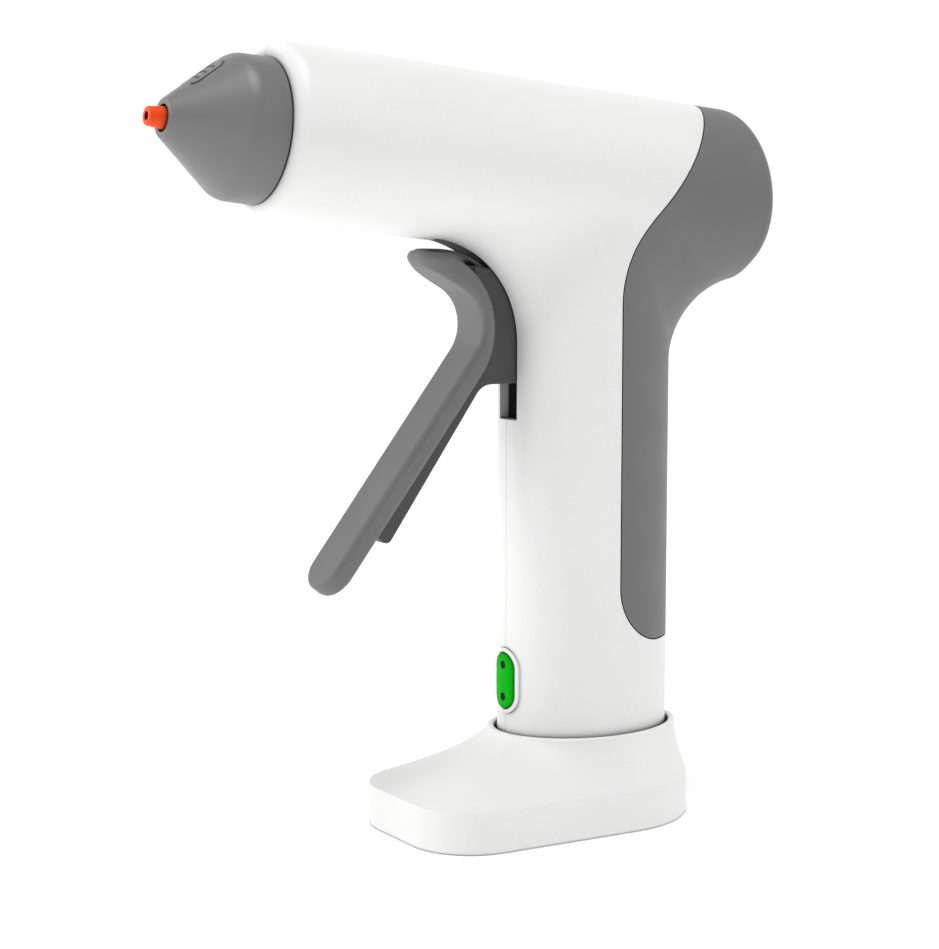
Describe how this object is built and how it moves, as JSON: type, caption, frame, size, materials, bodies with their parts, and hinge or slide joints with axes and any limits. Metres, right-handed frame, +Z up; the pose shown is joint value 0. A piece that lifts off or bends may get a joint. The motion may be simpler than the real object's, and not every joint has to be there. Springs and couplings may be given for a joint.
{
  "type": "cordless glue gun",
  "caption": "Cordless hot glue gun with a pistol grip, lever trigger and cone nose, standing in a charging base that its handle lifts out of.",
  "frame": {"origin": "on the table, under the axis of the handle", "axes": "+Z up, nose towards -X, y = 0 is the symmetry plane"},
  "size_m": [0.1459, 0.0476, 0.1694],
  "materials": {
    "housing_white": "satin white moulded ABS",
    "grip_grey": "soft-touch grey overmould",
    "cone_grey": "matt grey silicone",
    "trigger_grey": "matt grey moulded plastic",
    "lever_dark": "dark grey glass-filled nylon",
    "nozzle_orange": "orange silicone",
    "button_green": "translucent green, lit from behind",
    "button_ink": "dark inlay",
    "base_white": "satin white moulded ABS",
    "inner_grey": "matt engineering plastic",
    "silicone_red": "heat-resistant silicone",
    "aluminium": "cast aluminium",
    "steel": "bright steel",
    "brass": "gold-plated brass",
    "circuit_green": "solder-masked circuit board",
    "cell_wrap": "shrink-wrapped cell",
    "rubber_black": "black rubber",
    "lamp_clear": "clear lamp",
    "ceramic": "ceramic heater"
  },
  "bodies": {
    "base": {"base_shell": "base_white", "base_bottom_plate": "base_white", "base_screws": "steel", "base_pads": "rubber_black", "base_ballast": "steel", "charge_board": "circuit_green", "usb_inlet": "steel", "pin_block": "inner_grey", "charge_springs": "steel"},
    "gun": {"housing_left": "housing_white", "housing_right": "housing_white", "grip_cover": "grip_grey", "housing_screws": "steel", "nose_cone": "cone_grey", "nozzle": "nozzle_orange", "heater_barrel": "aluminium", "heater_element": "ceramic", "heater_clip": "steel", "thermistor": "lamp_clear", "heat_ring_front": "silicone_red", "heat_ring_rear": "silicone_red", "inlet_sleeve": "silicone_red", "valve_spring": "steel", "entry_bush": "inner_grey", "guide_tube": "inner_grey", "return_spring": "steel", "trigger_pivot_pin": "steel", "battery_cell": "cell_wrap", "cell_contact_top": "brass", "cell_contact_bottom": "brass", "cell_cradle": "inner_grey", "control_board": "circuit_green", "button_switch": "rubber_black", "indicator_leds": "lamp_clear", "handle_end_cap": "inner_grey", "contact_pads": "brass"},
    "trigger": {"trigger_pad": "trigger_grey", "trigger_lever": "lever_dark"},
    "carriage": {"carriage": "inner_grey", "drive_pin": "steel", "jaw_pin": "steel"},
    "jaw": {"grip_jaw": "steel"},
    "button": {"power_button": "button_green", "button_marks": "button_ink"},
    "valve": {"valve_ball": "steel"},
    "pin_left": {"charge_pin_left": "brass"},
    "pin_right": {"charge_pin_right": "brass"}
  },
  "joints": [
    {"name": "gun_lift", "type": "slide", "parent": "base", "child": "gun", "axis": [0, 0, 1], "range_m": [0, 0.08]},
    {"name": "trigger_squeeze", "type": "hinge", "parent": "gun", "child": "trigger", "pos_m": [-0.011, 0, 0.1155], "axis": [0, -1, 0], "range_deg": [0, 22], "stiffness_Nm_per_rad": 0.8, "springref_deg": -14.32},
    {"name": "carriage_feed", "type": "slide", "parent": "gun", "child": "carriage", "axis": [-0.9945, 0, 0.1045], "range_m": [0, 0.0075], "deforming": ["return_spring"]},
    {"name": "jaw_bite", "type": "hinge", "parent": "carriage", "child": "jaw", "pos_m": [-0.00762, 0, 0.15054], "axis": [0, -1, 0], "range_deg": [0, 8]},
    {"name": "button_press", "type": "slide", "parent": "gun", "child": "button", "axis": [1, 0, 0], "range_m": [0, 0.0008], "stiffness_N_per_m": 400, "springref_m": -0.0005},
    {"name": "valve_lift", "type": "slide", "parent": "gun", "child": "valve", "axis": [-0.9945, 0, 0.1045], "range_m": [0, 0.0008], "stiffness_N_per_m": 60, "springref_m": -0.0005, "deforming": ["valve_spring"]},
    {"name": "pin_left_press", "type": "slide", "parent": "base", "child": "pin_left", "axis": [0, 0, -1], "range_m": [0, 0.0008], "stiffness_N_per_m": 120, "springref_m": -0.0005, "deforming": ["charge_springs"]},
    {"name": "pin_right_press", "type": "slide", "parent": "base", "child": "pin_right", "axis": [0, 0, -1], "range_m": [0, 0.0008], "stiffness_N_per_m": 120, "springref_m": -0.0005, "deforming": ["charge_springs"]}
  ],
  "couplings": [
    {"joint": "carriage_feed", "follows": "trigger_squeeze", "m_per_rad": 0.016402},
    {"joint": "jaw_bite", "follows": "trigger_squeeze", "ratio": 0.25}
  ]
}
